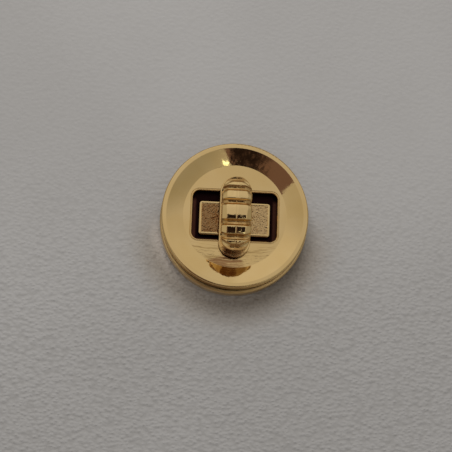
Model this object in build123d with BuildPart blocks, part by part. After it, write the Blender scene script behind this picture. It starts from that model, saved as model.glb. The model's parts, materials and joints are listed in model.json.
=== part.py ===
from build123d import *
from math import cos, radians, sin, sqrt, tan
import os

os.makedirs("parts", exist_ok=True)

# Turn lock for a bag or small case, all sizes in millimetres.
# The flap half, a dished round plate with a rectangular opening, lies on the body half, a round base
# with a raised stand and a ribbed turning knob. The knob stands across the opening, which locks the two.
# The origin is on the knob's axis at the back face of the base back plate, and +Z points out of the bag.
# The knob's length lies along Y and the opening's length along X.

# Face plate of the flap half
plate_radius = 15.0
plate_height = 2.6
rim_width = 1.0
rim_round = 0.35
dish_depth = 1.2
disc_radius = 10.6
cone_wall = 1.0
skirt_wall = 1.1
recess_shoulder = 0.5
opening_length = 17.35
opening_width = 10.15
opening_corner = 1.4
opening_edge = 0.12
opening_taper = 45
collar_wall = 0.9
flap_boss_radius = 1.35

# Back plates, which clamp the leather against the two castings
flap_back_thickness = 0.6
base_back_thickness = 0.7
back_plate_inset = 0.8
back_plate_edge = 0.15
collar_clearance = 0.12

# Where the flap half lies on the stand, and how far it can rise under the knob
flap_shift = 0.5
knob_play = 0.6

# Base and its stand
base_overhang = 0.2
base_edge_round = 0.35
roof_thickness = 0.7
stand_gap_x = 1.3
stand_gap_y = 1.475
stand_corner = 0.7
stand_edge_round = 0.4
stand_below_disc = 0.6
pocket_wall = 1.0
cavity_ledge = 0.9
cover_thickness = 0.45
cover_clearance = 0.06

# Knob
knob_pass = 0.375
knob_width = 6.4
knob_height = 6.1
flange_thickness = 0.9
flange_round = 0.15
crown_end_inset = 0.65
crown_side_inset = 0.2
crown_arch = 17.5
crown_tilt = 2.0
shoulder_width = 1.1
shoulder_lean = 28
end_bevel_width = 0.4
end_bevel_turn = 40
end_lobe_length = 0.6
outer_lobe_length = 1.95
inner_lobe_length = 2.95
groove_radius = 0.62
inner_groove_depth = 0.55
outer_groove_depth = 0.48
end_groove_depth = 0.38
inner_groove_turn = 4
outer_groove_turn = 20
end_groove_turn = 33
end_groove_inset = 0.7
flute_depth = 0.2
stem_radius = 2.0
stem_clearance = 0.05
square_side = 2.8
collar_radius = 2.8
collar_gap = 0.05

# Detent below the roof of the base
washer_space = 0.4
washer_thickness = 0.2
washer_width = 1.5
cam_thickness = 0.75
cam_half_side = 3.0
cam_reach = 3.35
cam_fit = 0.03
spring_clearance = 0.05
spring_thickness = 0.35
spring_half_length = 5.6
post_radius = 0.5
post_clearance = 0.05
retainer_thickness = 0.3
retainer_radius = 2.9
peen_height = 0.3
peen_radius = 2.4
peen_taper = 30
end_gap = 0.1

# Fasteners
screw_radius = 0.8
screw_fit = 0.03
base_screw_reach = 1.7
flap_screw_reach = 0.95
cover_screw_radius = 0.5
cover_screw_reach = 1.2
cover_boss_radius = 1.1
blind_depth = 0.2
sink_angle = 90
slot_share = 0.6
slot_width = 0.35
slot_depth = 0.3
screw_count = 4
first_screw_turn = 45

# Heights of the stack, from the back plate up
base_height = (roof_thickness + washer_space + cam_thickness + retainer_thickness
               + peen_height + end_gap + cover_thickness)
z_base = base_back_thickness
z_base_top = z_base + base_height
z_flap = z_base_top + flap_back_thickness
z_rim = z_flap + plate_height
z_disc = z_rim - dish_depth
z_stand = z_disc - stand_below_disc
z_knob = z_disc + knob_play
z_knob_top = z_knob + knob_height

# Heights inside the cavity, from the roof down
z_roof = z_base_top - roof_thickness
z_cam_top = z_roof - washer_space
z_cam = z_cam_top - cam_thickness
z_retainer = z_cam - retainer_thickness
z_stem_end = z_retainer - peen_height
z_cover_top = z_base + cover_thickness

# Plan sizes that follow from the face plate, the opening, the stem and the springs
base_radius = plate_radius + base_overhang
stand_length = opening_length - 2 * stand_gap_x
stand_width = opening_width - 2 * stand_gap_y
knob_length = opening_length - 2 * knob_pass
crown_length = knob_length - 2 * crown_end_inset
crown_width = knob_width - 2 * crown_side_inset
bore_radius = stem_radius + stem_clearance
spring_line_y = cam_reach + spring_clearance + spring_thickness / 2
hook_radius = post_radius + post_clearance + spring_thickness / 2
post_y = spring_line_y + hook_radius
hook_edge_x = spring_half_length + hook_radius + spring_thickness / 2
hook_edge_y = post_y + hook_radius + spring_thickness / 2
cavity_radius = sqrt(hook_edge_x**2 + hook_edge_y**2) + post_clearance
cover_radius = cavity_radius + cavity_ledge
cover_boss_y = cavity_radius - cover_boss_radius / 2
base_screw_circle = (cover_radius + base_radius) / 2
recess_inner = disc_radius + recess_shoulder
recess_outer = plate_radius - skirt_wall
flap_screw_circle = (recess_inner + recess_outer) / 2
cone_slope = dish_depth / (plate_radius - rim_width - disc_radius)

flap_centre = (0, flap_shift)


def flap_plane(height):
    """Plane of the flap half, centred where it lies on the stand."""
    return Plane(origin=(0, flap_shift, height))


def screw_places(circle, centre):
    """Centres of the screws, on the diagonals of a circle round the given centre."""
    places = []
    for step in range(screw_count):
        turn = radians(first_screw_turn + step * 360 / screw_count)
        places.append((centre[0] + circle * cos(turn), centre[1] + circle * sin(turn)))
    return places


def countersunk_screw(place, z_face, plate_thickness, radius, reach):
    """Cross-slot screw whose flat head is flush with the lower face of a plate."""
    head_radius = radius + plate_thickness
    with BuildPart() as screw:
        with BuildSketch(Plane(origin=(place[0], place[1], z_face), x_dir=(1, 0, 0), z_dir=(0, -1, 0))):
            with BuildLine():
                Polyline(
                    (0, 0),
                    (head_radius, 0),
                    (radius, plate_thickness),
                    (radius, plate_thickness + reach),
                    (0, plate_thickness + reach),
                    close=True,
                )
            make_face()
        revolve(axis=Axis((place[0], place[1], 0), (0, 0, 1)))
        with BuildSketch(Plane(origin=(place[0], place[1], z_face))):
            Rectangle(2 * slot_share * head_radius, slot_width)
            Rectangle(slot_width, 2 * slot_share * head_radius)
        extrude(amount=slot_depth, mode=Mode.SUBTRACT)
    return screw.part


# Base: disc, stand and the cavity for the detent
with BuildPart() as base:
    with BuildSketch(Plane.XY.offset(z_base)):
        Circle(base_radius)
    extrude(amount=base_height)
    fillet(base.edges().filter_by(GeomType.CIRCLE).sort_by(Axis.Z)[-1], base_edge_round)
    with BuildSketch(Plane.XY.offset(z_base_top)):
        RectangleRounded(stand_length, stand_width, stand_corner)
    extrude(amount=z_stand - z_base_top)
    fillet(base.faces().sort_by(Axis.Z)[-1].edges(), stand_edge_round)
    # Seat of the cover and the cavity above it
    with BuildSketch(Plane.XY.offset(z_base)):
        Circle(cover_radius + cover_clearance)
    extrude(amount=cover_thickness, mode=Mode.SUBTRACT)
    with BuildSketch(Plane.XY.offset(z_cover_top)):
        Circle(cavity_radius)
        with Locations((0, cover_boss_y), (0, -cover_boss_y)):
            Circle(cover_boss_radius, mode=Mode.SUBTRACT)
    extrude(amount=z_roof - z_cover_top, mode=Mode.SUBTRACT)
    # Coring pockets inside the stand, one each side of the stem
    pocket_inner = collar_radius + pocket_wall
    pocket_outer = stand_length / 2 - pocket_wall
    with BuildSketch(Plane.XY.offset(z_roof)):
        for side in (1, -1):
            with Locations((side * (pocket_inner + pocket_outer) / 2, 0)):
                Rectangle(pocket_outer - pocket_inner, stand_width - 2 * pocket_wall)
    extrude(amount=z_stand - z_roof - pocket_wall, mode=Mode.SUBTRACT)
    # Posts that carry the hooks of the springs
    with BuildSketch(Plane.XY.offset(z_roof)):
        with GridLocations(2 * spring_half_length, 2 * post_y, 2, 2):
            Circle(post_radius)
    extrude(amount=-(washer_space + cam_thickness))
    # Bore of the stem
    with BuildSketch(Plane.XY.offset(z_base)):
        Circle(bore_radius)
    extrude(amount=z_stand - z_base, mode=Mode.SUBTRACT)
    # Holes of the screws, open below
    with BuildSketch(Plane.XY.offset(z_base)):
        with Locations(*screw_places(base_screw_circle, (0, 0))):
            Circle(screw_radius + screw_fit)
    extrude(amount=base_screw_reach + blind_depth, mode=Mode.SUBTRACT)
    with BuildSketch(Plane.XY.offset(z_cover_top)):
        with Locations((0, cover_boss_y), (0, -cover_boss_y)):
            Circle(cover_screw_radius + screw_fit)
    extrude(amount=cover_screw_reach + blind_depth, mode=Mode.SUBTRACT)

base.part.label = "base"
export_step(base.part, "parts/base.step")

# Base back plate: a ring that leaves the mechanism cover open to view
with BuildPart() as base_back_plate:
    with BuildSketch():
        Circle(base_radius - back_plate_inset)
        Circle(cavity_radius, mode=Mode.SUBTRACT)
    extrude(amount=base_back_thickness)
    chamfer(base_back_plate.edges().filter_by(GeomType.CIRCLE).group_by(Axis.Z)[0], back_plate_edge)
    with Locations(Plane(origin=(0, 0, 0), x_dir=(1, 0, 0), z_dir=(0, 0, -1))):
        with Locations(*[(x, -y) for x, y in screw_places(base_screw_circle, (0, 0))]):
            CounterSinkHole(
                radius=screw_radius + screw_fit,
                counter_sink_radius=screw_radius + base_back_thickness + screw_fit,
                depth=base_back_thickness,
                counter_sink_angle=sink_angle,
            )

base_back_plate.part.label = "base_back_plate"
export_step(base_back_plate.part, "parts/base_back_plate.step")

# Mechanism cover, seated in the base below the cavity
with BuildPart() as mechanism_cover:
    with BuildSketch(Plane.XY.offset(z_base)):
        Circle(cover_radius)
    extrude(amount=cover_thickness)
    with Locations(Plane(origin=(0, 0, z_base), x_dir=(1, 0, 0), z_dir=(0, 0, -1))):
        with Locations((0, cover_boss_y), (0, -cover_boss_y)):
            CounterSinkHole(
                radius=cover_screw_radius + screw_fit,
                counter_sink_radius=cover_screw_radius + cover_thickness + screw_fit,
                depth=cover_thickness,
                counter_sink_angle=sink_angle,
            )

mechanism_cover.part.label = "mechanism_cover"
export_step(mechanism_cover.part, "parts/mechanism_cover.step")

# Detent springs: flat strips whose hooked ends hold the posts
for side, name in ((1, "detent_spring_north"), (-1, "detent_spring_south")):
    with BuildPart() as detent_spring:
        with BuildSketch(Plane.XY.offset(z_cam)):
            with BuildLine() as strip:
                line_y = side * spring_line_y
                hook_y = side * (spring_line_y + 2 * hook_radius)
                middle_y = side * post_y
                ThreePointArc(
                    (-spring_half_length, hook_y),
                    (-spring_half_length - hook_radius, middle_y),
                    (-spring_half_length, line_y),
                )
                Line((-spring_half_length, line_y), (spring_half_length, line_y))
                ThreePointArc(
                    (spring_half_length, line_y),
                    (spring_half_length + hook_radius, middle_y),
                    (spring_half_length, hook_y),
                )
            trace(strip.line, line_width=spring_thickness)
        extrude(amount=cam_thickness)
    detent_spring.part.label = name
    export_step(detent_spring.part, f"parts/{name}.step")

# Curved spring washer between the roof and the cam
with BuildPart() as spring_washer:
    bow = washer_space - washer_thickness
    washer_outer = bore_radius + washer_width
    with BuildSketch(Plane.XZ.offset(-washer_outer)):
        with BuildLine():
            ThreePointArc((-washer_outer, z_cam_top), (0, z_cam_top + bow), (washer_outer, z_cam_top))
            Line((washer_outer, z_cam_top), (washer_outer, z_cam_top + washer_thickness))
            ThreePointArc(
                (washer_outer, z_cam_top + washer_thickness),
                (0, z_roof),
                (-washer_outer, z_cam_top + washer_thickness),
            )
            Line((-washer_outer, z_cam_top + washer_thickness), (-washer_outer, z_cam_top))
        make_face()
    extrude(amount=2 * washer_outer)
    with BuildSketch(Plane.XY.offset(z_cam_top)):
        Circle(washer_outer)
        Circle(bore_radius, mode=Mode.SUBTRACT)
    extrude(amount=washer_space, mode=Mode.INTERSECT)

spring_washer.part.label = "spring_washer"
export_step(spring_washer.part, "parts/spring_washer.step")

# Detent cam: a square plate with its corners turned off, on the square of the stem
with BuildPart() as detent_cam:
    with BuildSketch(Plane.XY.offset(z_cam)):
        Rectangle(2 * cam_half_side, 2 * cam_half_side)
        Circle(cam_reach, mode=Mode.INTERSECT)
        Rectangle(square_side + 2 * cam_fit, square_side + 2 * cam_fit, mode=Mode.SUBTRACT)
    extrude(amount=cam_thickness)

detent_cam.part.label = "detent_cam"
export_step(detent_cam.part, "parts/detent_cam.step")

# Retaining washer under the cam
with BuildPart() as retaining_washer:
    with BuildSketch(Plane.XY.offset(z_retainer)):
        Circle(retainer_radius)
        Rectangle(square_side + 2 * cam_fit, square_side + 2 * cam_fit, mode=Mode.SUBTRACT)
    extrude(amount=retainer_thickness)

retaining_washer.part.label = "retaining_washer"
export_step(retaining_washer.part, "parts/retaining_washer.step")

# Where the shoulders of the crown begin, and the places of its grooves along the knob
shoulder_x = crown_width / 2 - shoulder_width
end_groove_y = crown_length / 2 - end_lobe_length
outer_groove_y = end_groove_y - outer_lobe_length
inner_groove_y = outer_groove_y - inner_lobe_length


def arch_drop(along):
    """How far the top of the crown has fallen at a distance from its middle."""
    return crown_arch - sqrt(crown_arch**2 - along**2)


def crown_cap():
    """Space under the arched top, with a bevel at each end, as wide as the cuts need."""
    arch_end = crown_length / 2 - end_bevel_width
    far_end = crown_length / 2 + end_bevel_width
    arch_low = -arch_drop(arch_end)
    bevel_low = arch_low - (far_end - arch_end) * tan(radians(end_bevel_turn))
    floor = -2 * knob_height
    with BuildPart() as cap:
        with BuildSketch(Plane(origin=(0, 0, z_knob_top), x_dir=(0, 1, 0), z_dir=(1, 0, 0))):
            with BuildLine():
                Polyline((-arch_end, arch_low), (-far_end, bevel_low), (-far_end, floor),
                         (far_end, floor), (far_end, bevel_low), (arch_end, arch_low))
                ThreePointArc((arch_end, arch_low), (0, 0), (-arch_end, arch_low))
            make_face()
        extrude(amount=2 * crown_width, both=True)
    return cap.part


def crown_groove(along, depth, run, turn):
    """Round channel across the top, then turned back down the shoulders and down the sides to the flange."""
    lift = z_knob_top + groove_radius - depth
    reach = crown_width / 2 + groove_radius - flute_depth
    side = reach - run
    side_y = along - side * tan(radians(turn))
    top_z = lift - arch_drop(along)
    turn_z = top_z - run * tan(radians(crown_tilt))
    side_z = lift - arch_drop(side_y) - run * tan(radians(crown_tilt)) - side * tan(radians(shoulder_lean))
    with BuildPart() as groove:
        with BuildLine() as path:
            Polyline(
                (-reach, side_y, z_knob + flange_thickness),
                (-reach, side_y, side_z),
                (-run, along, turn_z),
                (0, along, top_z),
                (run, along, turn_z),
                (reach, side_y, side_z),
                (reach, side_y, z_knob + flange_thickness),
            )
        with BuildSketch(Plane(origin=(-reach, side_y, z_knob + flange_thickness))):
            Circle(groove_radius)
        sweep(path=path.line, transition=Transition.RIGHT)
    return groove.part


# Crown of the knob: a stadium under an arched roof with a crease along it and leaning shoulders
with BuildPart() as crown:
    with BuildSketch(Plane.XY.offset(z_knob)):
        SlotOverall(crown_length, crown_width, rotation=90)
    extrude(amount=knob_height)
    cap = crown_cap()
    for side in (1, -1):
        add(cap.rotate(Axis((0, 0, z_knob_top), (0, 1, 0)), side * crown_tilt), mode=Mode.INTERSECT)
        add(
            cap.rotate(Axis((side * shoulder_x, 0, z_knob_top), (0, 1, 0)), side * shoulder_lean),
            mode=Mode.INTERSECT,
        )
    for groove in (
        crown_groove(inner_groove_y, inner_groove_depth, shoulder_x, inner_groove_turn),
        crown_groove(outer_groove_y, outer_groove_depth, shoulder_x, outer_groove_turn),
        crown_groove(end_groove_y, end_groove_depth, shoulder_x - end_groove_inset, end_groove_turn),
    ):
        add(groove, mode=Mode.SUBTRACT)
        add(groove.mirror(Plane.XZ), mode=Mode.SUBTRACT)

# Knob: crown, flange and stem in one casting
with BuildPart() as turn_knob:
    with BuildSketch(Plane.XY.offset(z_knob)):
        SlotOverall(knob_length, knob_width, rotation=90)
    extrude(amount=flange_thickness)
    fillet(turn_knob.faces().sort_by(Axis.Z)[-1].edges(), flange_round)
    add(crown.part)
    # Collar that stands on the stand, then the stem through the bore
    with BuildSketch(Plane.XY.offset(z_stand + collar_gap)):
        Circle(collar_radius)
    extrude(amount=z_knob - z_stand - collar_gap)
    with BuildSketch(Plane.XY.offset(z_cam_top)):
        Circle(stem_radius)
    extrude(amount=z_knob - z_cam_top)
    with BuildSketch(Plane.XY.offset(z_retainer)):
        Rectangle(square_side, square_side)
    extrude(amount=z_cam_top - z_retainer)
    # Peened end of the stem under the retaining washer
    with BuildSketch(Plane.XY.offset(z_retainer)):
        Circle(peen_radius)
    extrude(amount=-peen_height, taper=peen_taper)

turn_knob.part.label = "turn_knob"
export_step(turn_knob.part, "parts/turn_knob.step")

# Annular recess under the cone of the face plate, less the four screw bosses
with BuildPart() as face_recess:
    with BuildSketch(Plane(origin=(0, flap_shift, z_flap), x_dir=(1, 0, 0), z_dir=(0, -1, 0))):
        roof_inner = plate_height - dish_depth + recess_shoulder * cone_slope - cone_wall
        roof_outer = roof_inner + (recess_outer - recess_inner) * cone_slope
        with BuildLine():
            Polyline(
                (recess_inner, 0),
                (recess_inner, roof_inner),
                (recess_outer, roof_outer),
                (recess_outer, 0),
                close=True,
            )
        make_face()
    revolve(axis=Axis((0, flap_shift, 0), (0, 0, 1)))
    with BuildSketch(Plane.XY.offset(z_flap)):
        with Locations(*screw_places(flap_screw_circle, flap_centre)):
            Circle(flap_boss_radius)
    extrude(amount=plate_height, mode=Mode.SUBTRACT)

# Face plate: flat rim, conical dish, flat disc with the opening and its collar
with BuildPart() as face_plate:
    with BuildSketch(Plane(origin=(0, flap_shift, z_flap), x_dir=(1, 0, 0), z_dir=(0, -1, 0))):
        with BuildLine():
            Polyline(
                (0, 0),
                (plate_radius, 0),
                (plate_radius, plate_height),
                (plate_radius - rim_width, plate_height),
                (disc_radius, plate_height - dish_depth),
                (0, plate_height - dish_depth),
                close=True,
            )
        make_face()
    revolve(axis=Axis((0, flap_shift, 0), (0, 0, 1)))
    outer_rim = face_plate.edges().filter_by(GeomType.CIRCLE).sort_by(Axis.Z)[-2:].sort_by(SortBy.RADIUS)[-1]
    fillet(outer_rim, rim_round)
    add(face_recess.part, mode=Mode.SUBTRACT)
    with BuildSketch(flap_plane(z_flap)):
        RectangleRounded(
            opening_length + 2 * collar_wall, opening_width + 2 * collar_wall, opening_corner + collar_wall
        )
    extrude(amount=-flap_back_thickness)
    with BuildSketch(flap_plane(z_base_top)):
        RectangleRounded(opening_length, opening_width, opening_corner)
    extrude(amount=z_rim - z_base_top, mode=Mode.SUBTRACT)
    with BuildSketch(flap_plane(z_disc - opening_edge)):
        RectangleRounded(opening_length, opening_width, opening_corner)
    extrude(amount=opening_edge, taper=-opening_taper, mode=Mode.SUBTRACT)
    with BuildSketch(Plane.XY.offset(z_flap)):
        with Locations(*screw_places(flap_screw_circle, flap_centre)):
            Circle(screw_radius + screw_fit)
    extrude(amount=flap_screw_reach + blind_depth, mode=Mode.SUBTRACT)

face_plate.part.label = "face_plate"
export_step(face_plate.part, "parts/face_plate.step")

# Flap back plate round the collar
with BuildPart() as flap_back_plate:
    with BuildSketch(flap_plane(z_base_top)):
        Circle(plate_radius - back_plate_inset)
        RectangleRounded(
            opening_length + 2 * collar_wall + 2 * collar_clearance,
            opening_width + 2 * collar_wall + 2 * collar_clearance,
            opening_corner + collar_wall + collar_clearance,
            mode=Mode.SUBTRACT,
        )
    extrude(amount=flap_back_thickness)
    with Locations(Plane(origin=(0, 0, z_base_top), x_dir=(1, 0, 0), z_dir=(0, 0, -1))):
        with Locations(*[(x, -y) for x, y in screw_places(flap_screw_circle, flap_centre)]):
            CounterSinkHole(
                radius=screw_radius + screw_fit,
                counter_sink_radius=screw_radius + flap_back_thickness + screw_fit,
                depth=flap_back_thickness,
                counter_sink_angle=sink_angle,
            )

flap_back_plate.part.label = "flap_back_plate"
export_step(flap_back_plate.part, "parts/flap_back_plate.step")

# Screws, each in a node of its own
for count, place in enumerate(screw_places(base_screw_circle, (0, 0)), start=1):
    base_screw = countersunk_screw(place, 0, base_back_thickness, screw_radius, base_screw_reach)
    base_screw.label = f"base_screw_{count}"
    export_step(base_screw, f"parts/base_screw_{count}.step")

for count, place in enumerate(screw_places(flap_screw_circle, flap_centre), start=1):
    flap_screw = countersunk_screw(
        place, z_base_top, flap_back_thickness, screw_radius, flap_screw_reach
    )
    flap_screw.label = f"flap_screw_{count}"
    export_step(flap_screw, f"parts/flap_screw_{count}.step")

for count, side in enumerate((1, -1), start=1):
    cover_screw = countersunk_screw(
        (0, side * cover_boss_y), z_base, cover_thickness, cover_screw_radius, cover_screw_reach
    )
    cover_screw.label = f"cover_screw_{count}"
    export_step(cover_screw, f"parts/cover_screw_{count}.step")
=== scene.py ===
# %% [markdown]
# # A polished gold turn lock for a bag
#
# A turn lock holds a bag's flap shut. A dished round plate sits in the flap and has a rectangular
# opening. A round base sits in the bag's front, with a raised stand that fills the opening and a ribbed
# knob on top. Turned across the opening, the knob locks the two.
#
# The shapes come from the frame, which is the finished CAD model at its real size in metres. Blender
# gives it what the CAD can't hold: the gold plate, the pebbled top of the stand, the fine marks of
# polishing, the leather that it lies on and the room that it mirrors.

# %% Load the frame
import json
import math

import bmesh
import bpy
from mathutils import Matrix, Vector, noise


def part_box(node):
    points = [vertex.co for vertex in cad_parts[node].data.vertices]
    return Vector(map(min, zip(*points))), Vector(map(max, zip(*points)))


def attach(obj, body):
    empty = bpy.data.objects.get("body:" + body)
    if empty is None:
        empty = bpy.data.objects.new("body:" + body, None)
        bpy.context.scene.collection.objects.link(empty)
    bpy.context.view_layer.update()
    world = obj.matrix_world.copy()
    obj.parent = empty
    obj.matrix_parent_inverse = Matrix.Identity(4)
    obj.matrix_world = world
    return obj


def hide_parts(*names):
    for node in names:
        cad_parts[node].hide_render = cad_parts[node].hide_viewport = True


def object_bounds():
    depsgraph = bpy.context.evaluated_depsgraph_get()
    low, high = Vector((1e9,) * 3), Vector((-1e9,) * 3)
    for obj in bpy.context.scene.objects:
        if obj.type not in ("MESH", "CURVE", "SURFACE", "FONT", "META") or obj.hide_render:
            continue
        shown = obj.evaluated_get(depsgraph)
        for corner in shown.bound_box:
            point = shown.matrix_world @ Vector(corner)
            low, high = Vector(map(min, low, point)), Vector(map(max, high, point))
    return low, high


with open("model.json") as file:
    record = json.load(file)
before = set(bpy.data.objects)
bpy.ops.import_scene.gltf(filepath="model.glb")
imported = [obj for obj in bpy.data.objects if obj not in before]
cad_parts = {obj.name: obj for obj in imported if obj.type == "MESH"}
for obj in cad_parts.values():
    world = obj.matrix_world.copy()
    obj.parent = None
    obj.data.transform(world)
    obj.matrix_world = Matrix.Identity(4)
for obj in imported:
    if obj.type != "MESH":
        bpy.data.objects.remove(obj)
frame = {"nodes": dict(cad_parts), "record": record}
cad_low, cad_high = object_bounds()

MM = 0.001
nodes = frame["nodes"]
print("nodes in the frame:", len(nodes))
print("size in mm:", [round(side / MM, 2) for side in cad_high - cad_low])

# %% [markdown]
# ## The camera
#
# The picture was taken by hand from almost straight above, about a quarter of a metre away. Two things
# in it say where the camera stood. The round plate looks a little flatter than a circle, which gives the
# elevation. The knob's top has slipped up and to the right against the plate below it, which gives the
# side that the camera leans to.

# %% Find the camera's direction and the point that it looks at
PICTURE_SIDE = 452
PIXELS_PER_MM = 4.94
PLATE_IN_PICTURE = (235.3, 214.55)
CAMERA_ELEVATION = math.radians(78)
CAMERA_LEAN = math.radians(16)
OBJECT_TURN = math.radians(2)

plate_low, plate_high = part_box("face_plate")
plate_centre = Vector((
    (plate_low.x + plate_high.x) / 2,
    (plate_low.y + plate_high.y) / 2,
    plate_high.z,
))

picture_up = Vector((-math.sin(OBJECT_TURN), math.cos(OBJECT_TURN), 0))
picture_right = Vector((math.cos(OBJECT_TURN), math.sin(OBJECT_TURN), 0))
flat_reach = math.cos(CAMERA_ELEVATION)
to_camera = Vector((
    -math.sin(CAMERA_LEAN) * flat_reach,
    -math.cos(CAMERA_LEAN) * flat_reach,
    math.sin(CAMERA_ELEVATION),
))

picture_middle = PICTURE_SIDE / 2
step_right = (picture_middle - PLATE_IN_PICTURE[0]) / PIXELS_PER_MM * MM
step_up = (PLATE_IN_PICTURE[1] - picture_middle) / PIXELS_PER_MM / math.sin(CAMERA_ELEVATION) * MM
aim = plate_centre + picture_right * step_right + picture_up * step_up
print("the camera looks at", [round(c / MM, 2) for c in aim], "mm")

# %% [markdown]
# A camera in Blender looks along its own -Z, with its own Y up. So its matrix holds three directions as
# columns: right, up and back. The lens is long enough to give the plate the same share of the frame as
# in the picture, and Standard colours keep the tones of the picture as they are.

# %% Place the camera
CAMERA_DISTANCE = 250 * MM
SENSOR_WIDTH = 36
CLIP_START = 10 * MM
CLIP_END = 10

camera = bpy.data.objects.new("camera", bpy.data.cameras.new("camera"))
bpy.context.scene.collection.objects.link(camera)
camera.data.sensor_width = SENSOR_WIDTH
camera.data.lens = SENSOR_WIDTH * PIXELS_PER_MM * (CAMERA_DISTANCE / MM) / PICTURE_SIDE
camera.data.clip_start = CLIP_START
camera.data.clip_end = CLIP_END
back = to_camera.normalized()
right = picture_up.cross(back).normalized()
up = back.cross(right)
camera.matrix_world = Matrix.Translation(aim + back * CAMERA_DISTANCE) @ Matrix((
    (right.x, up.x, back.x, 0),
    (right.y, up.y, back.y, 0),
    (right.z, up.z, back.z, 0),
    (0, 0, 0, 1),
))
bpy.context.scene.camera = camera
bpy.context.scene.view_settings.view_transform = "Standard"
print("lens in mm:", round(camera.data.lens, 1))

# %% [markdown]
# ## Writing shaders as sums
#
# A material is a net of nodes. Drawn by hand it is easy to see but slow to change, so here each output
# is wrapped in a small class that knows how to add, take away, multiply and compare. A line such as
# `1 - grain * 0.3` then lays out its own Math nodes.

# %% Wrap one output of a node
class Wire:
    """One output of a node, which can stand in a sum."""

    def __init__(self, finish, socket):
        self.finish = finish
        self.socket = socket

    def maths(self, operation, *values):
        return self.finish.node("ShaderNodeMath", {"operation": operation}, dict(enumerate(values)))

    def __add__(self, other):
        return self.maths("ADD", self, other)

    def __radd__(self, other):
        return self.maths("ADD", other, self)

    def __sub__(self, other):
        return self.maths("SUBTRACT", self, other)

    def __rsub__(self, other):
        return self.maths("SUBTRACT", other, self)

    def __mul__(self, other):
        return self.maths("MULTIPLY", self, other)

    def __rmul__(self, other):
        return self.maths("MULTIPLY", other, self)

    def __truediv__(self, other):
        return self.maths("DIVIDE", self, other)

    def __rtruediv__(self, other):
        return self.maths("DIVIDE", other, self)

    def __pow__(self, other):
        return self.maths("POWER", self, other)

    def __abs__(self):
        return self.maths("ABSOLUTE", self)

    def least(self, other):
        return self.maths("MINIMUM", self, other)

    def most(self, other):
        return self.maths("MAXIMUM", self, other)

    def ramp(self, low, high):
        """0 below low, 1 above high and a smooth step between. With low above high it falls."""
        settings = {"interpolation_type": "SMOOTHSTEP"}
        if low < high:
            values = {"Value": self, "From Min": low, "From Max": high, "To Min": 0.0, "To Max": 1.0}
        else:
            values = {"Value": self, "From Min": high, "From Max": low, "To Min": 1.0, "To Max": 0.0}
        return self.finish.node("ShaderNodeMapRange", settings, values)


def methods_of(kind):
    """The names of a class's methods, apart from those that Python calls by itself."""
    return ", ".join(name for name in vars(kind) if not name.startswith("__"))


print("a wire has, beside its sums:", methods_of(Wire))

# %% [markdown]
# Every node that isn't a sum comes from one method, which takes the node's kind, its settings and what
# goes into its sockets. The patterns and the last nodes that the finishes share are short methods on
# top of it.

# %% Wrap a net of nodes
EDGE_SAMPLES = 6


class Finish:
    """A material or a world whose nodes are being laid out."""

    def __init__(self, owner):
        owner.use_nodes = True
        self.owner = owner
        self.tree = owner.node_tree
        self.tree.nodes.clear()

    def node(self, kind, settings=None, values=None, output=0):
        """One node: its settings first, then its sockets by name or number. Returns one output."""
        made = self.tree.nodes.new(kind)
        for name, setting in (settings or {}).items():
            setattr(made, name, setting)
        for name, value in (values or {}).items():
            if isinstance(value, Wire):
                self.tree.links.new(value.socket, made.inputs[name])
            else:
                made.inputs[name].default_value = value
        return Wire(self, made.outputs[output]) if made.outputs else made

    def place(self, turn=0.0, stretch=(1, 1, 1)):
        """A point of the surface in the object's own metres, turned about Z and stretched."""
        here = self.node("ShaderNodeTexCoord", output="Object")
        values = {"Vector": here, "Rotation": (0, 0, turn), "Scale": stretch}
        return self.node("ShaderNodeMapping", {"vector_type": "POINT"}, values)

    def parts(self, vector):
        """The x, y and z of a vector."""
        split = self.node("ShaderNodeSeparateXYZ", values={"Vector": vector}).socket.node
        return [Wire(self, output) for output in split.outputs]

    def noise(self, vector, scale, detail=2.0, roughness=0.5):
        """Clouds, with so many of them to one unit of the vector, which is a metre on a piece."""
        values = {"Vector": vector, "Scale": scale, "Detail": detail, "Roughness": roughness}
        return self.node("ShaderNodeTexNoise", values=values)

    def cells(self, vector, scale):
        """Rounded cells, 0 in their middles and higher towards the seams between them."""
        values = {"Vector": vector, "Scale": scale}
        return self.node("ShaderNodeTexVoronoi", {"feature": "SMOOTH_F1"}, values, output="Distance")

    def blend(self, share, first, second):
        """A colour between two others."""
        values = {0: share, 6: first, 7: second}
        return self.node("ShaderNodeMix", {"data_type": "RGBA"}, values, output=2)

    def bump(self, height, normal=None):
        """Tilts the surface as if its height, in metres, were real."""
        values = {"Height": height, "Distance": 1.0, "Strength": 1.0}
        if normal is not None:
            values["Normal"] = normal
        return self.node("ShaderNodeBump", values=values)

    def rounded(self, radius):
        """The surface's direction with its sharp edges rounded off."""
        return self.node("ShaderNodeBevel", {"samples": EDGE_SAMPLES}, {"Radius": radius})

    def surface(self, **values):
        """The last two nodes of a material, with underscores for the spaces in a socket's name."""
        values = {name.replace("_", " "): value for name, value in values.items()}
        shader = self.node("ShaderNodeBsdfPrincipled", values=values)
        self.node("ShaderNodeOutputMaterial", values={"Surface": shader})
        return self.owner


def new_finish(name):
    return Finish(bpy.data.materials.new(name))


print("a finish has:", methods_of(Finish))
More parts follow.
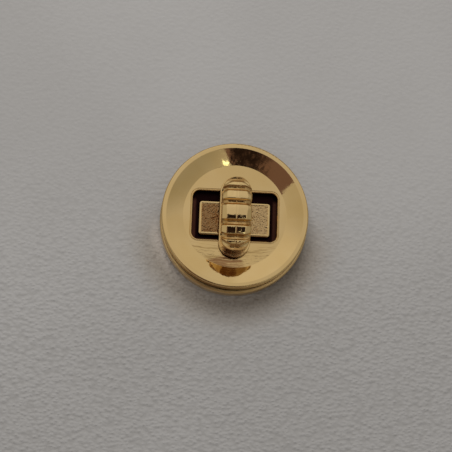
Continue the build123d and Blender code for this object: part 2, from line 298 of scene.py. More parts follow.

# %% [markdown]
# ## The leather
#
# The lock was photographed on pale grey leather. Its grain is about a millimetre across and very
# shallow, and it shows most on the near side, where the light rakes across it. So it is a little bump
# and a faint change of tone, with painted shade in its creases, and needs no mesh of its own.
#
# The light that polished gold throws on what lies beside it is hard for path tracing to find. So the
# leather at the lock's foot has a painted warm, darker shade, and is painted paler where that light falls.

# %% Mix the leather
FLOOR_COLOUR = (0.335, 0.322, 0.308, 1)
FLOOR_SHADE = (0.290, 0.277, 0.263, 1)
# Painted warm shade at the lock's foot
FLOOR_WARM_SHADE = (0.265, 0.228, 0.185, 1)
FLOOR_BOUNCE = (0.48, 0.43, 0.38, 1)
FLOOR_CREASE = (0.12, 0.095, 0.075, 1)
FLOOR_ROUGHNESS = 0.55
FLOOR_SPECULAR = 0.35
GRAIN_SCALE = 1100
SMALL_GRAIN_SCALE = 2300
PORE_SCALE = 2200
CLOUD_SCALE = 16
GRAIN_HEIGHT = 0.28 * MM
PORE_HEIGHT = 0.09 * MM
RAKED_BAND = (25 * MM, -30 * MM)
WARM_SHADE_RING = (25 * MM, 15 * MM)
WARM_SHADE_BAND = (6 * MM, -10 * MM)
BOUNCE_RING = (18.2 * MM, 15.2 * MM)
BOUNCE_BAND = (2 * MM, -6 * MM)
BOUNCE_WEST = (14 * MM, -12 * MM)
SHADOW_RING = (23 * MM, 17 * MM)
SHADOW_BAND = (0 * MM, -8 * MM)


def pale_leather():
    """Grey leather: cloudy all over, with painted shade in its creases and painted warm light and shade at
    the lock's foot.
    """
    leather = new_finish("pale_leather")
    place = leather.place()
    x, y, _ = leather.parts(place)
    grain = leather.cells(leather.place(0.5, (1, 1.5, 1)), GRAIN_SCALE)
    small_grain = leather.cells(leather.place(0.3, (1, 1.3, 1)), SMALL_GRAIN_SCALE)
    pores = leather.noise(place, PORE_SCALE, 3)
    clouds = leather.noise(place, CLOUD_SCALE, 2)
    raked = y.ramp(*RAKED_BAND)
    # Painted shade in the grain's creases, strongest on the near side where the light rakes across it
    creases = grain.ramp(0.35, 0.75) * (0.15 + raked * 0.6)
    darker = (clouds.ramp(0.35, 0.65) * 0.5 + creases).least(1.0)
    colour = leather.blend(darker, FLOOR_COLOUR, FLOOR_SHADE)

    # Painted light and shade: the gold's warm light and the lock's shade on the leather beside it, most
    # where its foot is nearest
    from_axis = (x ** 2 + y ** 2) ** 0.5
    warm_shade = from_axis.ramp(*WARM_SHADE_RING) * y.ramp(*WARM_SHADE_BAND)
    colour = leather.blend(warm_shade, colour, FLOOR_WARM_SHADE)
    thrown = from_axis.ramp(*BOUNCE_RING) * y.ramp(*BOUNCE_BAND) * x.ramp(*BOUNCE_WEST)
    colour = leather.blend(thrown, colour, FLOOR_BOUNCE)

    # In the lock's shadow the grain shows only by its creases
    shaded = from_axis.ramp(*SHADOW_RING) * y.ramp(*SHADOW_BAND)
    colour = leather.blend(shaded * small_grain.ramp(0.30, 0.80) * 0.36, colour, FLOOR_CREASE)

    height = (grain * -GRAIN_HEIGHT + pores * PORE_HEIGHT) * (0.3 + raked * 0.7)
    return leather.surface(
        Base_Color=colour,
        Roughness=FLOOR_ROUGHNESS,
        Specular_IOR_Level=FLOOR_SPECULAR,
        Normal=leather.bump(height),
    )


floor_finish = pale_leather()
print("nodes in the leather:", len(floor_finish.node_tree.nodes))

# %% [markdown]
# The leather lies flat, so the floor is one square, far wider than the picture. It touches the lowest
# point of the CAD. It is staging, which means that it isn't a part of the lock.

# %% Lay the floor
FLOOR_HALF_SIDE = 2.0

floor_mesh = bmesh.new()
bmesh.ops.create_grid(floor_mesh, x_segments=1, y_segments=1, size=FLOOR_HALF_SIDE)
floor_data = bpy.data.meshes.new("floor")
floor_mesh.to_mesh(floor_data)
floor_mesh.free()
floor = bpy.data.objects.new("floor", floor_data)
bpy.context.scene.collection.objects.link(floor)
floor_data.transform(Matrix.Translation((0, 0, cad_low.z)))
floor_data.materials.append(floor_finish)
print("floor at z", round(cad_low.z, 5))

# %% [markdown]
# ## The room
#
# Polished metal has hardly any colour of its own to show: it shows the room. So the world is drawn for
# the gold to mirror. A direction d is first laid flat: x and y over 1 + z puts the zenith in the middle
# and the horizon on a circle of radius 1, so every shape in the room is drawn with plain sums on a flat
# chart.
#
# Most of the room is a pale ceiling. It is brightest on the far side, and dimmer to the east, to the
# west and low down.

# %% Draw the ceiling
ROOM_LIGHT = (0.575, 0.56, 0.55, 1)
ROOM_FAR = (0.65, 0.635, 0.62, 1)
ROOM_EAST = (0.33, 0.32, 0.29, 1)
ROOM_WEST = (0.43, 0.41, 0.36, 1)
ROOM_LOW = (0.16, 0.13, 0.10, 1)
LOWEST_Z = -0.9
FAR_BAND = (0.15, 0.34)
EAST_BAND = (0.20, 0.38)
EAST_VEIL = (-0.01, 0.08)
WEST_BAND = (0.15, 0.28)
LOW_BAND = (0.60, 0.85)

world = bpy.data.worlds.new("room")
bpy.context.scene.world = world
room = Finish(world)

direction = room.node("ShaderNodeTexCoord", output="Generated")
room_x, room_y, room_z = room.parts(direction)
across = room_x / (1 + room_z.most(LOWEST_Z))
along = room_y / (1 + room_z.most(LOWEST_Z))
reach = (across ** 2 + along ** 2) ** 0.5

east = (across - along * 0.9).ramp(*EAST_BAND) * 0.75 + across.ramp(*EAST_VEIL) * 0.22
west = (across * -1 - along * 0.4).ramp(*WEST_BAND) * 0.8
scenery = room.blend(along.ramp(*FAR_BAND), ROOM_LIGHT, ROOM_FAR)
scenery = room.blend(east, scenery, ROOM_EAST)
scenery = room.blend(west, scenery, ROOM_WEST)
scenery = room.blend(reach.ramp(*LOW_BAND), scenery, ROOM_LOW)
print("nodes in the ceiling:", len(room.tree.nodes))

# %% [markdown]
# The photographer stands at the near side, so a dark coat rises there from the floor to near the zenith.
# On the chart it is a wedge between two nearly straight edges. It is black where it is in shadow, brown
# beside that and dull towards the floor. Cloth has no straight edge, so noise wears all its outlines.

# %% Draw the coat
COAT_BROWN = (0.155, 0.098, 0.092, 1)
COAT_BLACK = (0.016, 0.010, 0.010, 1)
COAT_LOW = (0.15, 0.10, 0.07, 1)
COAT_EAST_EDGE = ((0.78, 0.625), (-0.063, -0.070))
COAT_WEST_EDGE = ((0.90, -0.435), (-0.197, -0.189))
COAT_TOP = (0.0, -0.03)
COAT_SHADOW_WEST = (-0.085, -0.025)
COAT_SHADOW_EAST = (0.075, 0.045)
COAT_LOW_BAND = (0.29, 0.38)
WOBBLE_SCALE = 9
MOTTLE_SCALE = 34

wobble = room.noise(direction, WOBBLE_SCALE, 4)
mottle = room.noise(direction, MOTTLE_SCALE, 4, 0.65)
ragged = (wobble - 0.5) * 0.02 + (mottle - 0.5) * 0.016


def inside_edge(edge, wear):
    """1 on the coat's side of a straight edge. The edge is a direction and a band along it."""
    (facing_x, facing_y), band = edge
    return (across * facing_x + along * facing_y + wear).ramp(*band)


in_coat = inside_edge(COAT_EAST_EDGE, ragged) * inside_edge(COAT_WEST_EDGE, ragged * 2.5)
in_coat = in_coat * along.ramp(*COAT_TOP)
in_shadow = (across - along * 0.35 + (mottle - 0.5) * 0.40).ramp(*COAT_SHADOW_WEST)
in_shadow = in_shadow * (across + (mottle - 0.5) * 0.25).ramp(*COAT_SHADOW_EAST)
coat = room.blend(in_shadow * (1 - mottle.ramp(0.50, 0.66) * 0.45), COAT_BROWN, COAT_BLACK)
coat = room.blend((reach + (mottle - 0.5) * 0.1).ramp(*COAT_LOW_BAND), coat, COAT_LOW)
scenery = room.blend(in_coat, scenery, coat)
print("nodes with the coat:", len(room.tree.nodes))

# %% [markdown]
# Three cards finish the room: the light that falls between the coat and the leather, the dark phone
# right beside the line of sight, and a lamp in the corner of the ceiling, seen past the edge of the coat.
# A card is a soft-edged rectangle on the chart.
#
# Only glossy rays see this room. All other rays see one even light, so the leather isn't stained by it.

# %% Draw the cards and hang the world
LAMP = (2.2, 2.6, 2.2, 1)
EVEN_LIGHT = (0.42, 0.415, 0.41, 1)
GAP_CARD = ((0.02, -0.32), (0.11, 0.055), 0.012)
PHONE_CARD = ((0.012, -0.068), (0.092, 0.085), 0.006)
LAMP_CARD = ((0.093, -0.188), (0.017, 0.006), 0.002)


def card(at_x, at_y, centre, half, soft):
    """1 inside a rectangle and 0 outside, with soft edges."""
    inside_x = abs(at_x - centre[0]).ramp(half[0] + soft, half[0] - soft)
    inside_y = abs(at_y - centre[1]).ramp(half[1] + soft, half[1] - soft)
    return inside_x * inside_y


gap = card(across, along + (mottle - 0.5) * 0.05, *GAP_CARD)
scenery = room.blend(gap * 0.8, scenery, ROOM_WEST)
phone = card(across + (wobble - 0.5) * 0.03, along, *PHONE_CARD)
scenery = room.blend(phone, scenery, COAT_BLACK)
stray = (mottle - 0.5) * 0.03
lamp = card(across + stray, along - stray, *LAMP_CARD)
scenery = room.blend(lamp, scenery, LAMP)

glossy = room.node("ShaderNodeLightPath", output="Is Glossy Ray")
sky = room.blend(glossy, EVEN_LIGHT, scenery)
background = room.node("ShaderNodeBackground", values={"Color": sky, "Strength": 1.0})
room.node("ShaderNodeOutputWorld", values={"Surface": background})
print("nodes in the whole room:", len(room.tree.nodes))

# %% [markdown]
# ## The lamp
#
# One large soft lamp stands for the window. It is beyond the lock and a little to the left, so the
# shadow falls towards the viewer and to the right, and the floor is brightest at the top of the picture.
# The gold doesn't mirror the lamp, because the room is drawn already.

# %% Hang the window's light
WINDOW_PLACE = Vector((-0.05, 0.26, 0.40))
WINDOW_SIDE = 0.26
WINDOW_WATTS = 1.72

window = bpy.data.objects.new("window_light", bpy.data.lights.new("window_light", "AREA"))
bpy.context.scene.collection.objects.link(window)
window.data.energy = WINDOW_WATTS
window.data.size = WINDOW_SIDE
window.location = WINDOW_PLACE
window.rotation_mode = "QUATERNION"
window.rotation_quaternion = WINDOW_PLACE.to_track_quat("Z", "Y")
window.visible_glossy = False
print("lamp at", [round(c, 3) for c in window.location])

# %% [markdown]
# ## The gold
#
# The castings are plated with pale gold and polished until they mirror. Real polish is never perfect:
# the colour drifts a little, fine wipe marks roughen it, and the cast skin under it bends reflections
# by a fraction of a degree. All three are small, and without them the metal looks like paint.
#
# Inside the openings the casting was never polished, so it is dull. Its dark colour there is painted
# shade, darkest at the bottom.

# %% Mix what the gold castings share
GOLD = (0.83, 0.595, 0.275, 1)
GOLD_WARM = (0.80, 0.56, 0.24, 1)
GOLD_SHADE = (0.52, 0.34, 0.13, 1)
# Painted brown reflection, on the knob's end and on the disc under it
PAINTED_REFLECTION_BROWN = (0.35, 0.17, 0.07, 1)
# Painted shade of the bare casting, from the top of a wall to its bottom
BARE_DEEP_SHADE = (0.014, 0.005, 0.005, 1)
BARE_SHADE_TOP = (0.105, 0.040, 0.025, 1)
GOLD_ROUGHNESS = 0.035
WIPE_ROUGHNESS = 0.05
DRIFT_SCALE = 160
WIPE_SCALE = 420
SKIN_SCALE = 330
PEEL_SCALE = 2400
BARE_SCALE = 900
SKIN_HEIGHT = 0.010 * MM
PEEL_HEIGHT = 0.0028 * MM
WIPE_HEIGHT = 0.0008 * MM
DISH_DEPTH = 1.2 * MM

disc_height = plate_high.z - DISH_DEPTH


def gold_skin(gold, place):
    """Colour, roughness and the fine relief of polished plate."""
    drift = gold.noise(place, DRIFT_SCALE, 2)
    wipes = gold.noise(gold.place(0.35, (1, 9, 1)), WIPE_SCALE, 4)
    skin = gold.noise(place, SKIN_SCALE, 1.5)
    peel = gold.noise(place, PEEL_SCALE, 2)
    colour = gold.blend(drift.ramp(0.35, 0.7), GOLD, GOLD_WARM)
    roughness = GOLD_ROUGHNESS + wipes.ramp(0.45, 0.75) * WIPE_ROUGHNESS
    relief = skin * SKIN_HEIGHT + wipes * WIPE_HEIGHT + peel * PEEL_HEIGHT
    return colour, roughness, relief


def shaded_bare_casting(gold, mask, depth, colour, roughness):
    """The same gold, but bare where the mask is 1, with painted shade that darkens with depth."""
    blotch = gold.noise(gold.place(), BARE_SCALE, 3)
    # Painted shade: the bare walls grow darker from their top to the bottom
    bare = gold.blend(depth, BARE_SHADE_TOP, BARE_DEEP_SHADE)
    colour = gold.blend(mask, colour, bare)
    roughness = roughness + mask * (0.25 + blotch * 0.2)
    return colour, roughness


def from_level(z, level, heights):
    """0 at the first height over a level and 1 at the second. Heights below the level are negative."""
    return z.ramp(level + heights[0], level + heights[1])


print("the plate's disc lies at", round(disc_height / MM, 2), "mm")

# %% [markdown]
# ## The knob's gold
#
# The knob was polished by hand over a rough casting, so its mirror is lumpy. Its grooves are painted a
# deeper colour for the shade in them. The one end that looks down on the disc has a painted brown
# reflection with bright streaks in it, and is duller.

# %% Mix the knob's gold
# Painted shade in the knob's grooves
GROOVE_SHADE = (0.50, 0.28, 0.09, 1)
LUMP_SCALE = 1150
LUMP_HEIGHT = 0.026 * MM
KNOB_BLOTCH_SCALE = 1100
STREAK_SCALE = 1500
KNOB_REFLECTION_BAND = (-6.9 * MM, -7.5 * MM)
KNOB_DULL_BAND = (-6.9 * MM, -7.7 * MM)
KNOB_DULL_ROUGHNESS = 0.24
CROWN_GROOVES = (2.15 * MM, 5.10 * MM, 7.05 * MM)
GROOVE_BAND = (0.62 * MM, 0.28 * MM)
GROOVE_FOOT = (1.6 * MM, 2.4 * MM)


def polished_gold():
    """The knob: lumpy gold, painted shade in the grooves, a painted brown reflection on one end."""
    gold = new_finish("polished_gold")
    place = gold.place()
    _, y, z = gold.parts(place)
    colour, roughness, relief = gold_skin(gold, place)
    relief = relief + gold.noise(gold.place(0.4, (1, 1.4, 1)), LUMP_SCALE, 3, 0.6) * LUMP_HEIGHT

    blotch = gold.noise(place, KNOB_BLOTCH_SCALE, 4)
    streaks = gold.noise(gold.place(0, (0.4, 1, 2.2)), STREAK_SCALE, 3, 0.6)
    # Painted brown reflection on the end that looks down on the disc, broken by streaks
    stain_and_reflection_tone = 0.35 + blotch.ramp(0.3, 0.6) * 0.6 - streaks.ramp(0.5, 0.6) * 0.45
    brown_reflection = y.ramp(*KNOB_REFLECTION_BAND) * stain_and_reflection_tone
    colour = gold.blend(brown_reflection.most(0.0), colour, PAINTED_REFLECTION_BROWN)
    roughness = roughness + y.ramp(*KNOB_DULL_BAND) * blotch.ramp(0.3, 0.6) * KNOB_DULL_ROUGHNESS

    # Painted shade in the grooves
    from_middle = abs(y)
    off = [abs(from_middle - groove) for groove in CROWN_GROOVES]
    groove_shade_mask = off[0].least(off[1]).least(off[2]).ramp(*GROOVE_BAND)
    groove_shade_mask = groove_shade_mask * from_level(z, disc_height, GROOVE_FOOT)
    colour = gold.blend(groove_shade_mask * (0.55 + blotch.ramp(0.35, 0.65) * 0.4), colour, GROOVE_SHADE)
    return gold.surface(Base_Color=colour, Metallic=1.0, Roughness=roughness, Normal=gold.bump(relief))


finishes = {"polished_gold": polished_gold()}
print("nodes in the knob's gold:", len(finishes["polished_gold"].node_tree.nodes))

# %% [markdown]
# ## The plain metals
#
# The back plates, the springs, the screws and the cam are seen only from behind or when the lock is
# apart. They are duller, a little stained, and brushed along X as sheet metal is. Each CAD node names
# the slot that it belongs to, and gets the finish of that slot.

# %% Mix the plain metals and dress the nodes
PLAIN_METALS = {
    "plated_steel": ((0.66, 0.52, 0.30), 0.24, 0.003 * MM),
    "spring_steel": ((0.50, 0.50, 0.50), 0.22, 0.002 * MM),
    "screw_steel": ((0.68, 0.55, 0.34), 0.20, 0.002 * MM),
    "zinc_casting": ((0.46, 0.46, 0.45), 0.38, 0.004 * MM),
}
BRUSH_SCALE = 2600
BRUSH_STRETCH = 0.06
BRUSH_ROUGHNESS = 0.16
STAIN_SCALE = 220
STAIN_SHADE = 0.82


def plain_metal(name, colour, roughness, brush_height):
    """A brushed metal with faint stains."""
    metal = new_finish(name)
    brush = metal.noise(metal.place(0, (BRUSH_STRETCH, 1, 1)), BRUSH_SCALE, 3)
    stain = metal.noise(metal.place(), STAIN_SCALE, 2)
    stain_and_reflection_tone = [part * STAIN_SHADE for part in colour]
    tone = metal.blend(stain.ramp(0.3, 0.75) * 0.6, (*colour, 1), (*stain_and_reflection_tone, 1))
    return metal.surface(
        Base_Color=tone,
        Metallic=1.0,
        Roughness=roughness + brush * BRUSH_ROUGHNESS,
        Normal=metal.bump(brush * brush_height),
    )


for name, values in PLAIN_METALS.items():
    finishes[name] = plain_metal(name, *values)
slot_of = {part["node"]: part["material_slot"] for part in frame["record"]["subparts"]}
for name, node in nodes.items():
    node.data.materials.clear()
    node.data.materials.append(finishes[slot_of[name]])
print("finishes:", ", ".join(finishes))

# %% [markdown]
# ## The plate's gold
#
# The plate was spun against a wheel, which left its cone a little hollow, so what the cone mirrors
# changes from its inner edge to its outer edge. The disc inside the cone was polished with long strokes
# across it. A shallow groove runs round the mouth of the opening, just outside its lip. All of them are
# a few hundredths of a millimetre deep, so they are written as heights for the bump.

# %% Shape the plate's fine relief
CONE_INNER = 10.6 * MM
CONE_OUTER = 14.0 * MM
CONE_CURVE = 8.8
STROKE_SCALE = 2300
STROKE_STRETCH = 0.07
STROKE_BOW = 11
OPENING_HALF = (8.72 * MM, 5.12 * MM)
OPENING_CORNER = 1.4 * MM
MOUTH_GROOVE_INNER = (0.14 * MM, 0.26 * MM)
MOUTH_GROOVE_OUTER = (0.42 * MM, 0.28 * MM)

cone_middle = (CONE_INNER + CONE_OUTER) / 2


def hollow_cone(radius):
    """How far the cone stands over its own hollow middle, in metres."""
    on_cone = radius.most(CONE_INNER).least(CONE_OUTER)
    return (on_cone - cone_middle) ** 2 * CONE_CURVE


def wheel_strokes(gold, x, y):
    """Long bowed lines along X."""
    values = {"X": x * STROKE_STRETCH, "Y": y - x ** 2 * STROKE_BOW}
    return gold.noise(gold.node("ShaderNodeCombineXYZ", values=values), STROKE_SCALE, 3, 0.6)


def mouth_groove(x, y):
    """1 along a line round the opening, which is measured as a rounded rectangle."""
    past_x = (abs(x) - (OPENING_HALF[0] - OPENING_CORNER)).most(0.0)
    past_y = (abs(y - plate_centre.y) - (OPENING_HALF[1] - OPENING_CORNER)).most(0.0)
    from_mouth = (past_x ** 2 + past_y ** 2) ** 0.5 - OPENING_CORNER
    return from_mouth.ramp(*MOUTH_GROOVE_INNER) * from_mouth.ramp(*MOUTH_GROOVE_OUTER)


cone_hollow = (CONE_OUTER - cone_middle) ** 2 * CONE_CURVE
print("the cone is hollow by", round(cone_hollow / MM, 3), "mm")

# %% [markdown]
# The strokes show only on the near side of the disc. Some are dark, and they end in a painted brown
# reflection of the knob under it. Below the rim the outer edge is less polished, and carries painted
# shade. The walls of the opening are bare, in painted shade.

# %% Mix the plate's gold
DISC_TOP = (0.05 * MM, 0.01 * MM)
DISC_EDGE = (CONE_INNER + 0.2 * MM, CONE_INNER + 0.1 * MM)
STROKE_BAND = (-4.6 * MM, -6.6 * MM)
STROKE_HEIGHT = 0.042 * MM
PLATE_REFLECTION_CENTRE = (-1.7 * MM, -9.9 * MM)
PLATE_REFLECTION_HALF = (4.3 * MM, 2.0 * MM)
REFLECTION_EDGE_SCALE = 1300
MOUTH_GROOVE_DEPTH = 0.07 * MM
SKIRT_HEIGHTS = (-0.12 * MM, -0.40 * MM)
SKIRT_RING = (14.5 * MM, 14.7 * MM)
SKIRT_ROUGHNESS = 0.06
WALL_SOFT = 0.015 * MM
WALL_HEIGHTS = (-0.09 * MM, -0.13 * MM)
WALL_DARK_HEIGHTS = (-0.3 * MM, -0.9 * MM)
PLATE_EDGE_RADIUS = 0.10 * MM


def plate_gold():
    """The face plate: strokes across the lower disc, a painted reflection of the knob, bare walls in
    painted shade.
    """
    gold = new_finish("plate_gold")
    place = gold.place()
    x, y, z = gold.parts(place)
    colour, roughness, relief = gold_skin(gold, place)
    radius = (x ** 2 + (y - plate_centre.y) ** 2) ** 0.5
    relief = relief + hollow_cone(radius)

    on_disc = from_level(z, disc_height, DISC_TOP) * radius.ramp(*DISC_EDGE)
    strokes = wheel_strokes(gold, x, y)
    stroked = on_disc * y.ramp(*STROKE_BAND)
    relief = relief + strokes * stroked * STROKE_HEIGHT
    relief = relief - mouth_groove(x, y) * on_disc * MOUTH_GROOVE_DEPTH
    colour = gold.blend(strokes.ramp(0.50, 0.38) * stroked * 0.9, colour, GOLD_SHADE)

    # Painted brown reflection of the knob on the disc under it
    edge = gold.noise(gold.place(0, (0.5, 1, 1)), REFLECTION_EDGE_SCALE, 3)
    far_x = (x - PLATE_REFLECTION_CENTRE[0]) / PLATE_REFLECTION_HALF[0]
    far_y = (y - PLATE_REFLECTION_CENTRE[1]) / PLATE_REFLECTION_HALF[1]
    brown_reflection = on_disc * (far_x ** 2 + far_y ** 2 + (edge - 0.5) * 0.9).ramp(1.1, 0.75)
    colour = gold.blend(brown_reflection * (0.85 - strokes.ramp(0.46, 0.60) * 0.6), colour, PAINTED_REFLECTION_BROWN)

    # Painted shade on the outer edge below the rim, which is also a little rougher
    skirt = from_level(z, plate_high.z, SKIRT_HEIGHTS) * radius.ramp(*SKIRT_RING)
    colour = gold.blend(skirt * 0.6, colour, GOLD_SHADE)
    roughness = roughness + skirt * SKIRT_ROUGHNESS

    walls = card(x, y, (0, plate_centre.y), OPENING_HALF, WALL_SOFT)
    walls = walls * from_level(z, disc_height, WALL_HEIGHTS)
    depth = from_level(z, disc_height, WALL_DARK_HEIGHTS)
    colour, roughness = shaded_bare_casting(gold, walls, depth, colour, roughness)
    normal = gold.bump(relief, normal=gold.rounded(PLATE_EDGE_RADIUS))
    return gold.surface(Base_Color=colour, Metallic=1.0, Roughness=roughness, Normal=normal)


plate_finish = plate_gold()
nodes["face_plate"].data.materials[0] = plate_finish
print("nodes in the plate's gold:", len(plate_finish.node_tree.nodes))

# %% [markdown]
# ## The pebbled stand
#
# The top of the stand is cast with a fine pebbled grain inside a smooth border. The grain is real
# relief, which a CAD node can't be given, since its own mesh is never changed. So the base is copied.
# The CAD mesh is loose triangles, and the copy has its doubled corners merged before anything is cut
# into it.

# %% Copy the base
SAME_PLACE = 0.001 * MM
SHARP_ANGLE = math.radians(30)


def casting_copy(name):
    """A copy of a CAD node's mesh with its doubled corners merged and its sharp edges marked."""
    casting = bmesh.new()
    casting.from_mesh(nodes[name].data)
    bmesh.ops.remove_doubles(casting, verts=casting.verts, dist=SAME_PLACE)
    for edge in casting.edges:
        edge.smooth = edge.calc_face_angle(0) < SHARP_ANGLE
    return casting


base_casting = casting_copy("base")
print("faces on the copy of the base:", len(base_casting.faces))

# %% [markdown]
# The stand's top is a few large faces, with no corners in them to move. Planes along X and along Y cut
# it into small squares, and only the top is cut.

# %% Cut the top of the stand into a net
GRAIN_STEP = 0.075 * MM
CUT_TOLERANCE = 0.00001 * MM
LEVEL_FACE = 0.999

stand_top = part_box("base")[1].z


def lies_on_top(face):
    return face.normal.z > LEVEL_FACE and abs(face.calc_center_median().z - stand_top) < SAME_PLACE


def cut_net(casting, faces, step):
    """Cut level faces into a square net, and return all its corners."""
    corners = {vert for face in faces for vert in face.verts}
    edges = {edge for face in faces for edge in face.edges}
    geometry = list(faces) + list(edges) + list(corners)
    for axis, direction in ((0, (1, 0, 0)), (1, (0, 1, 0))):
        low = min(vert.co[axis] for vert in corners)
        high = max(vert.co[axis] for vert in corners)
        count = math.ceil((high - low) / step)
        for number in range(1, count):
            at = [0, 0, 0]
            at[axis] = low + (high - low) * number / count
            geometry = bmesh.ops.bisect_plane(
                casting, geom=geometry, dist=CUT_TOLERANCE, plane_co=at, plane_no=direction
            )["geom"]
    return [part for part in geometry if isinstance(part, bmesh.types.BMVert)]


top_faces = [face for face in base_casting.faces if lies_on_top(face)]
stand_half = [max(abs(vert.co[axis]) for face in top_faces for vert in face.verts) for axis in (0, 1)]
net = cut_net(base_casting, top_faces, GRAIN_STEP)
print("corners in the net of the stand:", len(net))

# %% [markdown]
# Each corner of the net then sinks by its distance from the middle of the nearest pebble, so that every
# pebble is left standing as a small dome. The grain fades out at the border and round the knob's stem.

# %% Sink the pits
PEBBLE_SIZE = 0.33 * MM
PATCH_SIZE = 2.3 * PEBBLE_SIZE
PIT_DEPTH = 0.072 * MM
GRAIN_BORDER = 0.10 * MM
GRAIN_FADE = 0.15 * MM
SMOOTH_RADIUS = 3.0 * MM


def ease(value, low, high):
    """0 below low, 1 above high and a smooth step between."""
    share = min(max((value - low) / (high - low), 0.0), 1.0)
    return share * share * (3 - 2 * share)


deepest = 0.0
for vert in net:
    inward = min(stand_half[0] - abs(vert.co.x), stand_half[1] - abs(vert.co.y))
    share = ease(inward, GRAIN_BORDER, GRAIN_BORDER + GRAIN_FADE)
    share *= ease(vert.co.xy.length, SMOOTH_RADIUS, SMOOTH_RADIUS + GRAIN_FADE)
    if share > 0:
        from_pebble = noise.voronoi(vert.co / PEBBLE_SIZE)[0][0]
        patch = noise.noise(vert.co / PATCH_SIZE)
        vert.co.z -= PIT_DEPTH * share * min(1.0, max(0.0, 0.25 + from_pebble * 1.1 + patch * 0.35))
        deepest = max(deepest, stand_top - vert.co.z)
print("deepest pit in mm:", round(deepest / MM, 3))

# %% [markdown]
# ## The base's gold
#
# The pebbled top of the stand is paler gold, with painted brown shade in its pits and brown specks, and
# is browner on the left half. The channel round it is bare casting in painted shade, whose sides catch a
# little painted light at both ends and on the near side. The base's outer edge is only satin.

# %% Mix the base's gold
BASE_EDGE = (0.40, 0.26, 0.14, 1)
STAND_GOLD = (0.98, 0.72, 0.35, 1)
# Painted shade in the stand's pits, and the brown of its specks and left half
BROWN_SPECK_AND_SHADE = (0.24, 0.105, 0.035, 1)
BARE_SIDE = (0.12, 0.045, 0.028, 1)
SPECK_SCALE = 1500
STAND_BORDER = 0.25 * MM
STAND_BORDER_SOFT = 0.08 * MM
STAND_TOP_HEIGHTS = (-0.12 * MM, -0.09 * MM)
PIT_HEIGHTS = (-0.004 * MM, -0.03 * MM)
BROWNER_WEST = (2.0 * MM, -3.0 * MM)
CHANNEL_HEIGHTS = (-0.30 * MM, -0.45 * MM)
CHANNEL_DARK_HEIGHTS = (-0.4 * MM, -0.9 * MM)
CHANNEL_RING = (13.6 * MM, 13.4 * MM)
LIT_ENDS = (7.7 * MM, 8.2 * MM)
LIT_NEAR_SIDE = (-3.9 * MM, -4.4 * MM)
UNLIT_FAR_SIDE = (4.6 * MM, 3.6 * MM)
SATIN_RING = (14.4 * MM, 14.6 * MM)
SATIN_ROUGHNESS = 0.24
PEBBLE_ROUGHNESS = 0.10
BASE_EDGE_RADIUS = 0.08 * MM


def base_gold():
    """The base: gold outside and on the stand, bare in painted shade between, painted shade in the pits.
    """
    gold = new_finish("base_gold")
    place = gold.place()
    x, y, z = gold.parts(place)
    colour, roughness, relief = gold_skin(gold, place)

    speck = gold.noise(place, SPECK_SCALE, 3)
    pebbled_half = [half - STAND_BORDER for half in stand_half]
    grained = card(x, y, (0, 0), pebbled_half, STAND_BORDER_SOFT)
    grained = grained * from_level(z, stand_top, STAND_TOP_HEIGHTS)
    colour = gold.blend(grained * 0.8, colour, STAND_GOLD)
    # Painted shade in the pits; browner towards the left, and brown specks
    pits = from_level(z, stand_top, PIT_HEIGHTS)
    west = x.ramp(*BROWNER_WEST)
    dull = grained * (west * 0.07 + pits * (0.44 + west * 0.32) + speck.ramp(0.5, 0.68) * 0.20)
    colour = gold.blend(dull.least(1.0), colour, BROWN_SPECK_AND_SHADE)

    from_axis = (x ** 2 + y ** 2) ** 0.5
    bare = from_level(z, stand_top, CHANNEL_HEIGHTS) * from_axis.ramp(*CHANNEL_RING)
    depth = from_level(z, stand_top, CHANNEL_DARK_HEIGHTS)
    colour, roughness = shaded_bare_casting(gold, bare, depth, colour, roughness)
    lit_side = abs(x).ramp(*LIT_ENDS).most(y.ramp(*LIT_NEAR_SIDE)) * y.ramp(*UNLIT_FAR_SIDE)
    colour = gold.blend(bare * lit_side * 0.75, colour, BARE_SIDE)

    satin = from_axis.ramp(*SATIN_RING)
    colour = gold.blend(satin * speck * 0.25, colour, BASE_EDGE)
    roughness = roughness + grained * PEBBLE_ROUGHNESS + satin * SATIN_ROUGHNESS
    normal = gold.bump(relief, normal=gold.rounded(BASE_EDGE_RADIUS))
    return gold.surface(Base_Color=colour, Metallic=1.0, Roughness=roughness, Normal=normal)


base_finish = base_gold()
print("nodes in the base's gold:", len(base_finish.node_tree.nodes))

# %% [markdown]
# The copy now shows in the CAD node's place, rides on the same body and wears the base's gold. Weighted
# normals keep its flat faces flat beside the rounded edges.

# %% Put the grained base in the base's place
def stand_in(name, casting, node, body, finish):
    """The object that shows in place of a CAD node and rides on its body."""
    data = bpy.data.meshes.new(name)
    casting.to_mesh(data)
    casting.free()
    if "custom_normal" in data.attributes:
        data.attributes.remove(data.attributes["custom_normal"])
    piece = bpy.data.objects.new(name, data)
    bpy.context.scene.collection.objects.link(piece)
    data.materials.clear()
    data.materials.append(finish)
    piece.modifiers.new("flat_faces_stay_flat", "WEIGHTED_NORMAL").keep_sharp = True
    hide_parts(node)
    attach(piece, body)
    return piece


grained_base = stand_in("grained_base", base_casting, "base", "base_half", base_finish)
print("faces on the grained base:", len(grained_base.data.polygons))

# %% [markdown]
# ## The polished knob
#
# The knob's crown is cast with lobes and grooves, and then polished by hand, which rounds every edge and
# leaves the lobes a little uneven. A copy is cut off above the flange, and laid over with an even skin
# that can be smoothed without creases where the CAD's triangles are long. The flange and the stem stay
# as they are.

# %% Cut off the crown and give it an even skin
FLANGE_ABOVE_DISC = 1.5 * MM
CROWN_SKIN = 0.08 * MM


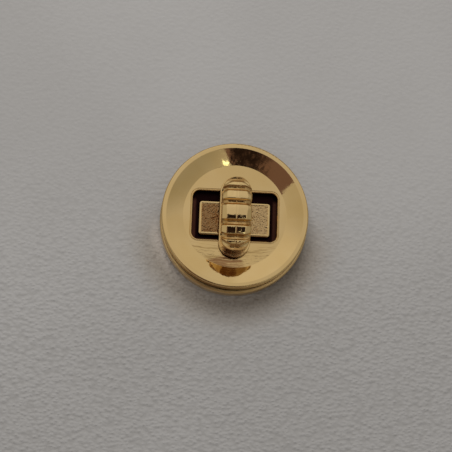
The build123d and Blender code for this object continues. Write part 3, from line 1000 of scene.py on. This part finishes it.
def cut_level(casting, height, keep_above):
    """Keep what is above or below a height, and close the cut."""
    everything = casting.verts[:] + casting.edges[:] + casting.faces[:]
    cut = bmesh.ops.bisect_plane(
        casting, geom=everything, dist=CUT_TOLERANCE, plane_co=(0, 0, height), plane_no=(0, 0, 1),
        clear_inner=keep_above, clear_outer=not keep_above,
    )["geom_cut"]
    bmesh.ops.holes_fill(casting, edges=[part for part in cut if isinstance(part, bmesh.types.BMEdge)])


def even_skin(casting, size):
    """The same form under a skin of even square faces."""
    data = bpy.data.meshes.new("skin")
    casting.to_mesh(data)
    holder = bpy.data.objects.new("skin", data)
    bpy.context.scene.collection.objects.link(holder)
    remesh = holder.modifiers.new("even_faces", "REMESH")
    remesh.mode = "VOXEL"
    remesh.voxel_size = size
    skinned = bpy.data.meshes.new_from_object(holder.evaluated_get(bpy.context.evaluated_depsgraph_get()))
    bpy.data.objects.remove(holder)
    casting.clear()
    casting.from_mesh(skinned)
    bpy.data.meshes.remove(skinned)
    bpy.data.meshes.remove(data)


flange_top = disc_height + FLANGE_ABOVE_DISC
crown = casting_copy("turn_knob")
cut_level(crown, flange_top, True)
even_skin(crown, CROWN_SKIN)
print("faces on the crown:", len(crown.faces))

# %% [markdown]
# Each lobe is bowed a little, so that it is highest midway between its grooves. The skin is then
# smoothed, which rounds the edges as the wheel does. A narrow strip above the flange is held still.

# %% Bow and smooth the crown
CROWN_HELD = 0.15 * MM
LOBES = ((0.0, 1.55), (3.62, 1.0), (6.08, 0.55))
LOBE_BOW = 0.042
BOW_NONE = 0.5 * MM
BOW_FULL = 2.5 * MM
CROWN_PASSES = 11

free = [vert for vert in crown.verts if vert.co.z > flange_top + CROWN_HELD]
for vert in free:
    off_middle = abs(vert.co.y) / MM
    middle, half = min(LOBES, key=lambda lobe: abs(off_middle - lobe[0]) - lobe[1])
    share = ease(vert.co.z, flange_top + BOW_NONE, flange_top + BOW_FULL)
    vert.co.z -= share * LOBE_BOW * min(abs(off_middle - middle), half) ** 2 * MM
for _ in range(CROWN_PASSES):
    bmesh.ops.smooth_vert(crown, verts=free, factor=0.5, use_axis_x=True, use_axis_y=True, use_axis_z=True)
crown.normal_update()
for face in crown.faces:
    face.smooth = True
print("corners free to move on the crown:", len(free))

# %% [markdown]
# Hand polishing leaves waves of about a hundredth of a millimetre, which bend the reflections. A shallow
# crease runs along the middle, where the two halves of the casting met.

# %% Wave and crease the crown
WAVE_HEIGHT = 0.016 * MM
WAVE_LENGTH = 0.9 * MM
WAVE_FULL = 0.6 * MM
CREASE_DEPTH = 0.045 * MM
CREASE_HALF = 0.10 * MM

moves = []
for vert in free:
    share = ease(vert.co.z, flange_top + CROWN_HELD, flange_top + WAVE_FULL)
    wave = noise.noise(vert.co / WAVE_LENGTH) * WAVE_HEIGHT
    crease = CREASE_DEPTH * math.exp(-((vert.co.x / CREASE_HALF) ** 2)) * max(0.0, vert.normal.z)
    moves.append(vert.normal * (wave - crease) * share)
for vert, move in zip(free, moves):
    vert.co += move
print("longest move in mm:", round(max(move.length for move in moves) / MM, 3))

# %% [markdown]
# The rest of the knob is a second copy, cut just above the flange. The crown's foot is sunk into it, so
# that no gap can show between the two.

# %% Put the polished knob in the knob's place
CROWN_SUNK = 0.12 * MM
CUT_OVERLAP = 0.01 * MM

for vert in crown.verts:
    if vert.co.z < flange_top + CUT_OVERLAP:
        vert.co.z -= CROWN_SUNK
knob_casting = casting_copy("turn_knob")
cut_level(knob_casting, flange_top + CUT_OVERLAP, False)
crown_data = bpy.data.meshes.new("crown")
crown.to_mesh(crown_data)
crown.free()
knob_casting.from_mesh(crown_data)
bpy.data.meshes.remove(crown_data)
polished_knob = stand_in("polished_knob", knob_casting, "turn_knob", "knob", finishes["polished_gold"])
print("faces on the polished knob:", len(polished_knob.data.polygons))

# %% [markdown]
# ## The size
#
# The looks mustn't change the size of the lock.
